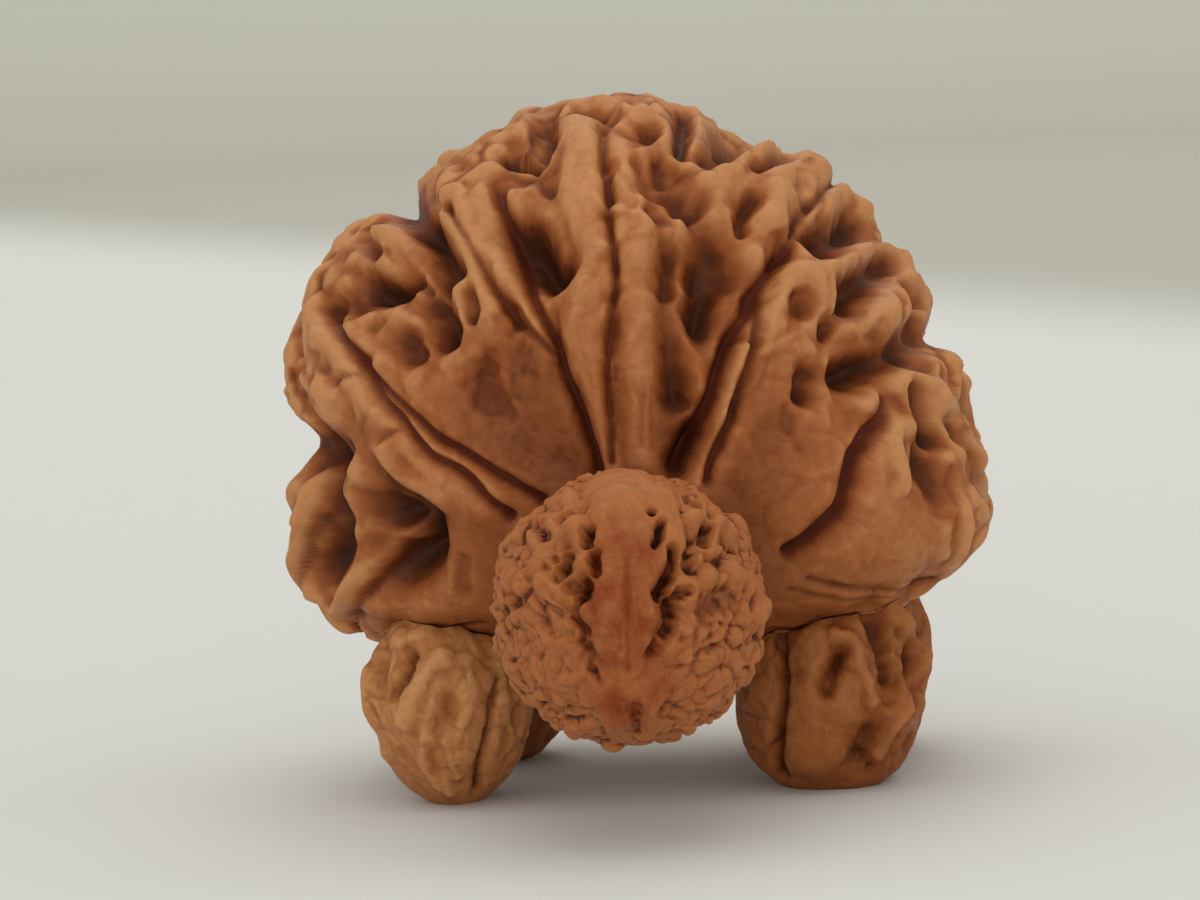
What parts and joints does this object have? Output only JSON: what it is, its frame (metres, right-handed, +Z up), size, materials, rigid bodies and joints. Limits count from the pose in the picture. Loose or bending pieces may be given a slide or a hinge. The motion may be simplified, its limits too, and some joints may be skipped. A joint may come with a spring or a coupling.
{
  "type": "walnut turtle figure",
  "caption": "Small turtle figure put together from whole walnuts: a large lobed nut as the shell, a round bumpy nut as the head and small nuts as legs with ground-flat feet.",
  "frame": {"origin": "middle of the figure's footprint box, at the plane its feet stand on", "axes": "+Z up, the head looks towards -Y, +X is to the right of somebody facing the head"},
  "size_m": [0.054, 0.061, 0.0525],
  "materials": {
    "shell_hull": "satin, oiled and waxed walnut hull",
    "head_hull": "satin, oiled and waxed walnut hull",
    "leg_front_left_hull": "satin, oiled and waxed walnut hull",
    "leg_front_right_hull": "satin, oiled and waxed walnut hull",
    "leg_rear_left_hull": "satin, oiled and waxed walnut hull",
    "leg_rear_right_hull": "satin, oiled and waxed walnut hull"
  },
  "bodies": {
    "root": {"shell_nut": "shell_hull", "head_nut": "head_hull", "leg_front_left": "leg_front_left_hull", "leg_front_right": "leg_front_right_hull", "leg_rear_left": "leg_rear_left_hull", "leg_rear_right": "leg_rear_right_hull"}
  },
  "joints": []
}
